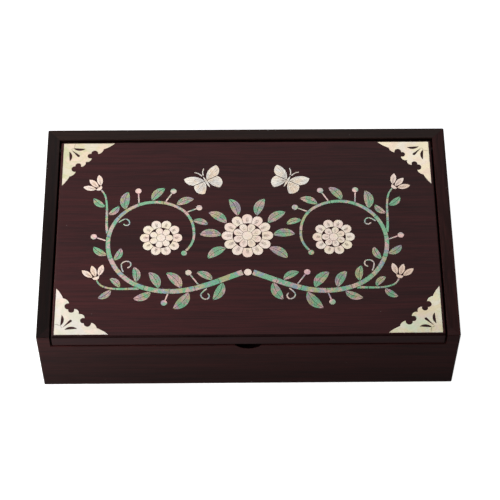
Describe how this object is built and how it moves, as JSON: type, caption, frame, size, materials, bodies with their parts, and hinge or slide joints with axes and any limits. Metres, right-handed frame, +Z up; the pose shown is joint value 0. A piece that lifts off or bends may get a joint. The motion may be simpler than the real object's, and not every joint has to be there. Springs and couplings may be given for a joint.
{
  "type": "document box",
  "caption": "Low lacquered wooden box for papers with an inset lid on hidden pivot pins, a finger notch and flush shell inlay.",
  "frame": {"origin": "middle of the footprint, on the surface that the feet stand on", "axes": "+X to the right along the long side, +Y to the back where the lid turns, +Z up"},
  "size_m": [0.4, 0.2426, 0.091],
  "materials": {
    "lacquered_wood": "clear gloss lacquer over dark red-brown streaked wood",
    "lacquered_panel": "thin dark lacquer over plywood",
    "bare_wood": "sawn, unfinished",
    "pale_shell": "polished pale mother-of-pearl",
    "rose_shell": "polished rose mother-of-pearl",
    "green_shell": "polished green abalone shell",
    "lining_fabric": "short-pile velvet",
    "black_rubber": "matt",
    "black_nylon": "matt",
    "pin_steel": "turned",
    "bush_brass": "turned"
  },
  "bodies": {
    "case": {"back_board": "lacquered_wood", "bottom_panel": "lacquered_panel", "floor_lining": "lining_fabric", "front_board": "lacquered_wood", "front_left_corner_tongue": "bare_wood", "front_left_foot": "black_rubber", "front_right_corner_tongue": "bare_wood", "front_right_foot": "black_rubber", "front_wall_lining": "lining_fabric", "left_lid_buffer": "black_rubber", "left_pivot_pin": "pin_steel", "left_pivot_washer": "black_nylon", "left_side_board": "lacquered_wood", "left_wall_lining": "lining_fabric", "rear_left_corner_tongue": "bare_wood", "rear_left_foot": "black_rubber", "rear_right_corner_tongue": "bare_wood", "rear_right_foot": "black_rubber", "rear_wall_lining": "lining_fabric", "right_lid_buffer": "black_rubber", "right_pivot_pin": "pin_steel", "right_pivot_washer": "black_nylon", "right_side_board": "lacquered_wood", "right_wall_lining": "lining_fabric"},
    "lid": {"front_left_corner_inlay": "pale_shell", "front_right_corner_inlay": "pale_shell", "left_berries_inlay": "green_shell", "left_buds_inlay": "rose_shell", "left_butterfly_inlay": "pale_shell", "left_flower_inlay": "rose_shell", "left_leaves_inlay": "green_shell", "left_lid_bush": "bush_brass", "left_tendrils_inlay": "green_shell", "left_vine_inlay": "green_shell", "lid_lining": "lining_fabric", "lid_panel": "lacquered_wood", "middle_flower_inlay": "rose_shell", "rear_left_corner_inlay": "pale_shell", "rear_right_corner_inlay": "pale_shell", "right_berries_inlay": "green_shell", "right_buds_inlay": "rose_shell", "right_butterfly_inlay": "pale_shell", "right_flower_inlay": "rose_shell", "right_leaves_inlay": "green_shell", "right_lid_bush": "bush_brass", "right_tendrils_inlay": "green_shell", "right_vine_inlay": "green_shell"}
  },
  "joints": [
    {"name": "lid_hinge", "type": "hinge", "parent": "case", "child": "lid", "pos_m": [0, 0.09785, 0.0847], "axis": [-1, 0, 0], "range_deg": [0, 122]}
  ]
}
